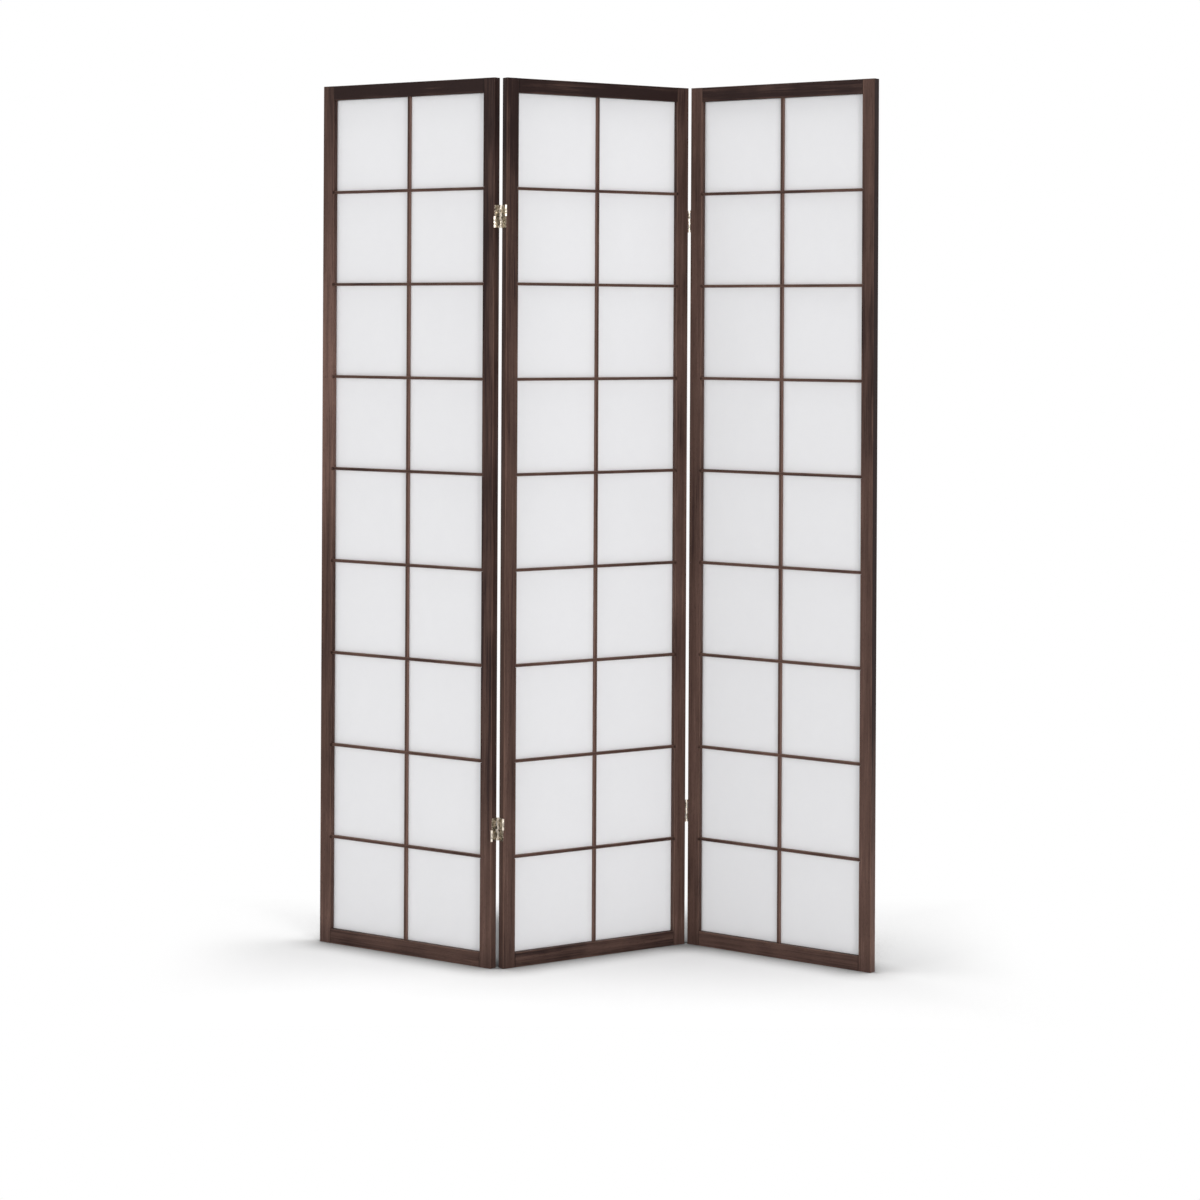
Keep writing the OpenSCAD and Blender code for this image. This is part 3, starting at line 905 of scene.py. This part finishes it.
def stretched_paper(panel, seed):
    """The panel's sheet of paper, glued flat at every strip and a little wavy between them."""
    low, high = own_box(f"{panel}_panel_paper", places[panel])
    post_low, post_high = own_box(f"{panel}_panel_upright", places[panel])
    glued_x = [low.x, (post_low.x + post_high.x) / 2, high.x]
    glued_z = [low.z, *crossbar_levels[panel], high.z]
    xs = np.linspace(low.x, high.x, round((high.x - low.x) / PAPER_CELL) + 1)
    zs = np.linspace(low.z, high.z, round((high.z - low.z) / PAPER_CELL) + 1)
    corners = []
    for z in zs:
        for x in xs:
            from_glue = [abs(x - line) for line in glued_x] + [abs(z - line) for line in glued_z]
            free = min(*from_glue, WAVE_FADE)
            fade = math.sin(math.pi / 2 * free / WAVE_FADE) ** 2
            # The noise goes from about -1 to 1, and a wave from 0 to 1
            wave = 0.5 + 0.5 * noise.noise(Vector((x / WAVE_LENGTH, seed, z / WAVE_LENGTH)))
            corners.append((x, low.y + WAVE_HEIGHT * wave * fade, z))
    width = len(xs)
    faces = [
        (row * width + k, row * width + k + 1, (row + 1) * width + k + 1, (row + 1) * width + k)
        for row in range(len(zs) - 1) for k in range(width - 1)
    ]
    mesh = bpy.data.meshes.new(f"{panel}_paper_sheet")
    mesh.from_pydata(corners, [], faces)
    mesh.transform(places[panel])
    mesh.shade_smooth()
    mesh.materials.append(fibrous_paper(f"{panel}_paper_white", places[panel], PAPER_WHITES_AND_SHADE[panel]))
    sheet = bpy.data.objects.new(mesh.name, mesh)
    bpy.context.scene.collection.objects.link(sheet)
    # The paper's thickness grows backwards from its face
    wall = sheet.modifiers.new("thickness", "SOLIDIFY")
    wall.thickness = high.y - low.y
    wall.offset = -1
    return sheet, (high.x - low.x, high.z - low.z)


for number, panel in enumerate(PANELS):
    sheet, flat = stretched_paper(panel, PANEL_SEEDS * number)
    ride_and_replace(sheet, panel, f"{panel}_panel_paper")
    print(f"{panel} paper {flat[0] / MM:.0f} x {flat[1] / MM:.0f} mm,", len(sheet.data.polygons), "faces")

# %% [markdown]
# ## Hinges
#
# The hinges' leaves and links are cut and rolled from pale brass sheet that has dulled: cream where it is
# rubbed bright and olive grey where it has tarnished. Between the panels' faces the leaves are painted
# darker and pitted: tarnish, painted shade and a painted reflection of the dark wood round them.
# Their pins are drawn steel. Both are metals, so most of their look comes from what they reflect, and
# their material only says how the colour and the sharpness of that reflection change from place to place.

# %% Make a material for worn metal
# The colour of the dark pits between the panel's faces, which are partly pitting and partly painted shade
BRASS_PIT_AND_SHADE = colour(46, 40, 32)
# Dull patches and fine marks make the tarnish together
PATCH_PART = 0.7
MARK_PART = 0.3
TARNISH_STEP = (0.35, 0.65)
# How much tarnish is left on what is rubbed, and how much more tarnish and painted shade there is between
# the panel's faces
RUBBED_TARNISH = 0.15
TARNISH_AND_SHADE_BETWEEN = 0.8
LEAST_TARNISH_AND_SHADE = 0.05
# How far from the middle of the panel's thickness the metal goes from painted shade to rubbed
SHADE_TO_RUBBED = (7.4 * MM, 8.9 * MM)
PIT_SIZE = 3.2 * MM
PIT_STEP = (0.47, 0.56)
PIT_SHARE = 0.85
# How much tarnish and marks add to the roughness
TARNISH_ROUGHNESS = 0.22
MARK_ROUGHNESS = 0.1
# Strength and depth of the marks' relief
METAL_BUMP = (0.2, 0.05 * MM)


def worn_metal(name, bright, dull, patch_mm, marks_mm, roughness, plates_of=None):
    """Material for metal that is bright where it is rubbed and dull in patches, with fine marks.

    patch_mm is the size of the patches, and marks_mm gives the sizes of a mark along the three axes.
    plates_of is the place of a panel: the metal between the faces of that panel is painted dull, dark and
    pitted, as tarnish, painted shade and a painted reflection of the wood round it, and only what stands
    proud of them is rubbed.
    """
    material, graph = new_material(name)
    at = panel_axes(graph, plates_of or Matrix())[0]

    def speckle(sizes, **levels):
        """Noise that changes over these sizes along the three axes."""
        return graph.noise(graph.vector(*(one / size for one, size in zip(at, sizes))), **levels)

    patches = speckle([patch_mm * MM] * 3, detail=4.0, roughness=0.6)
    marks = speckle([size * MM for size in marks_mm], roughness=0.6)
    tarnish = graph.step(patches * PATCH_PART + marks * MARK_PART, *TARNISH_STEP)
    if plates_of:
        # Between the panel's faces the metal is painted duller, darker and pitted: tarnish, painted shade
        # and a painted reflection of the dark wood round it
        tarnish_and_shade_mask = 1 - graph.step(abs(at[1]), *SHADE_TO_RUBBED)
        tarnish = tarnish * (tarnish_and_shade_mask * TARNISH_AND_SHADE_BETWEEN + RUBBED_TARNISH) + tarnish_and_shade_mask * LEAST_TARNISH_AND_SHADE
        pits_and_shade = graph.step(speckle([PIT_SIZE] * 3), *PIT_STEP) * tarnish_and_shade_mask * PIT_SHARE
        metal = graph.mix(pits_and_shade, graph.mix(tarnish, bright, dull), BRASS_PIT_AND_SHADE)
    else:
        metal = graph.mix(tarnish, bright, dull)
    total_roughness = tarnish * TARNISH_ROUGHNESS + marks * MARK_ROUGHNESS + roughness
    show(graph, graph.add("ShaderNodeBsdfPrincipled", sockets={
        "Base Color": metal, "Metallic": 1.0, "Roughness": total_roughness,
        "Normal": graph.bump(marks, *METAL_BUMP),
    }))
    return material


print(f"leaves are rubbed bright {SHADE_TO_RUBBED[1] / MM:.1f} mm from the middle of a panel's thickness")

# %% Dress the hinges
BRASS_BRIGHT = colour(234, 223, 208)
BRASS_DULL = colour(106, 99, 84)
BRASS_PATCH_MM = 4
BRASS_MARKS_MM = (0.3, 0.3, 3)
LINK_ROUGHNESS = 0.2
LEAF_ROUGHNESS = 0.24
STEEL_BRIGHT = colour(205, 204, 200)
STEEL_DULL = colour(150, 148, 144)
STEEL_PATCH_MM = 4
STEEL_MARKS_MM = (2, 2, 0.25)
STEEL_ROUGHNESS = 0.2
link_brass = worn_metal(
    "rubbed_brass", BRASS_BRIGHT, BRASS_DULL, BRASS_PATCH_MM, BRASS_MARKS_MM, LINK_ROUGHNESS,
)
steel = worn_metal(
    "drawn_steel", STEEL_BRIGHT, STEEL_DULL, STEEL_PATCH_MM, STEEL_MARKS_MM, STEEL_ROUGHNESS,
)
hinge_pieces = [name for name in nodes if "_hinge_" in name and name.endswith(("_leaf", "_link"))]
for panel in PANELS:
    leaf_brass = worn_metal(
        f"{panel}_leaf_brass", BRASS_BRIGHT, BRASS_DULL, BRASS_PATCH_MM, BRASS_MARKS_MM, LEAF_ROUGHNESS,
        plates_of=places[panel],
    )
    for name in frame["record"]["behaviour"]["bodies"][f"{panel}_panel"]:
        if name in hinge_pieces:
            dress(name, leaf_brass if name.endswith("_leaf") else link_brass)
    dress(f"{panel}_panel_hinge_pins", steel)
print("brass leaves and links:", len(hinge_pieces))

# %% [markdown]
# ## Screws
#
# Each leaf is held by four countersunk screws with crossed slots. A screw is a body of revolution with a
# thread wound round it, and all of them are the same, so one recipe makes a screw and sets it on every
# point that it is given. Which way a screw faces follows from the side of the panel it is on, and a seeded
# random turn leaves its slots at any angle, as a screwdriver does.

# %% Write the recipe for one screw
# Sides of what is round, steps in each turn of the thread, and sides of its ridge
ROUND_SIDES = 20
THREAD_STEPS = 12
THREAD_SIDES = 3
SCREW_INPUTS = {
    "Geometry": "Geometry", "Head Radius": "Float", "Shank Radius": "Float", "Core Radius": "Float",
    "Length": "Float", "Tip Length": "Float", "Turns": "Float", "Slot Length": "Float",
    "Slot Width": "Float", "Slot Depth": "Float", "Seed": "Int", "Material": "Material",
}
screw_tree, graph, given = new_recipe("countersunk_screws", SCREW_INPUTS)


def cone(top, bottom, height, down):
    """A cone along Z whose wide end faces up, at a depth below the face of the head."""
    shape = graph.add("GeometryNodeMeshCone", sockets={
        "Vertices": ROUND_SIDES, "Radius Top": top, "Radius Bottom": bottom, "Depth": height,
    })
    lowered = graph.vector(0.0, 0.0, (down + height) * -1)
    return graph.add("GeometryNodeTransform", sockets={"Geometry": shape, "Translation": lowered})


head_height = given["Head Radius"] - given["Shank Radius"]
core_length = given["Length"] - head_height - given["Tip Length"]
head = cone(given["Head Radius"], given["Shank Radius"], head_height, 0.0)
slots = [
    graph.add("GeometryNodeMeshCube", sockets={
        "Size": graph.vector(given[first], given[second], given["Slot Depth"] * 2),
    })
    for first, second in (("Slot Length", "Slot Width"), ("Slot Width", "Slot Length"))
]
head = graph.add(
    "GeometryNodeMeshBoolean", {"operation": "DIFFERENCE", "solver": "EXACT"},
    {"Mesh 1": head, "Mesh 2": slots},
)
core = cone(given["Core Radius"], given["Core Radius"], core_length, head_height)
tip = cone(given["Core Radius"], 0.0, given["Tip Length"], head_height + core_length)
winding = graph.add("GeometryNodeCurveSpiral", sockets={
    "Resolution": THREAD_STEPS, "Rotations": given["Turns"], "Start Radius": given["Core Radius"],
    "End Radius": given["Core Radius"], "Height": core_length,
})
ridge = graph.add("GeometryNodeCurvePrimitiveCircle", sockets={
    "Resolution": THREAD_SIDES, "Radius": given["Shank Radius"] - given["Core Radius"],
})
thread = graph.add("GeometryNodeCurveToMesh", sockets={
    "Curve": winding, "Profile Curve": ridge, "Fill Caps": True,
})
thread = graph.add("GeometryNodeTransform", sockets={
    "Geometry": thread, "Translation": graph.vector(0.0, 0.0, (head_height + core_length) * -1),
})
screw = graph.add("GeometryNodeJoinGeometry", sockets={"Geometry": [head, core, tip, thread]})
print("countersunk_screws takes", ", ".join(SCREW_INPUTS))

# %% Set a screw on every point
# The Random Value node has sockets of its own for each kind of value, and these are the ones for numbers
RANDOM_LEAST = 2
RANDOM_MOST = 3
RANDOM_NUMBER = 1
side = graph.axes(graph.add("GeometryNodeInputPosition"))[0].sign()
facing = graph.add("FunctionNodeEulerToRotation", sockets={
    "Euler": graph.vector(0.0, side * (math.pi / 2), 0.0),
})
driven = graph.add("GeometryNodeInstanceOnPoints", sockets={
    "Points": given["Geometry"], "Instance": screw, "Rotation": facing,
})
turn = graph.add(
    "FunctionNodeRandomValue", {"data_type": "FLOAT"},
    {RANDOM_LEAST: 0.0, RANDOM_MOST: 2 * math.pi, "Seed": given["Seed"]}, RANDOM_NUMBER,
)
spun = graph.add("FunctionNodeEulerToRotation", sockets={"Euler": graph.vector(0.0, 0.0, turn)})
driven = graph.add("GeometryNodeRotateInstances", sockets={"Instances": driven, "Rotation": spun})
finish_recipe(graph, driven, given["Material"])
print("countersunk_screws has", len(screw_tree.nodes), "nodes")

# %% Drive the screws
SCREW_SIZES = {
    "Head Radius": 2.7 * MM, "Shank Radius": 1.5 * MM, "Core Radius": 1.1 * MM, "Length": 14 * MM,
    "Tip Length": 2.5 * MM, "Turns": 8.0, "Slot Length": 3.0 * MM, "Slot Width": 0.7 * MM,
    "Slot Depth": 0.9 * MM,
}
SCREW_PATCH_MM = 3
SCREW_MARKS_MM = (0.5, 0.5, 0.5)
SCREW_ROUGHNESS = 0.25
SCREW_BRIGHT = colour(230, 220, 200)
SCREW_DULL = colour(138, 128, 108)
screw_brass = worn_metal(
    "screw_brass", SCREW_BRIGHT, SCREW_DULL, SCREW_PATCH_MM, SCREW_MARKS_MM, SCREW_ROUGHNESS,
)
for number, panel in enumerate(PANELS):
    heads = []
    for low, high in loose_boxes(f"{panel}_panel_hinge_screws", places[panel]):
        centre = (low + high) / 2
        heads.append((high.x if centre.x > 0 else low.x, centre.y, centre.z))
    screws = follow_recipe(
        f"{panel}_screws", screw_tree, {**SCREW_SIZES, "Seed": number, "Material": screw_brass},
        places[panel], heads,
    )
    ride_and_replace(screws, panel, f"{panel}_panel_hinge_screws")
    print(panel, "screws:", len(heads), "with", len(screws.data.polygons), "faces")

# %% [markdown]
# ## The materials
#
# The last step counts the materials that the script made.

# %% Count the materials and finish
print("made", len(bpy.data.materials), "materials for", len(nodes), "CAD nodes and what stands for them")
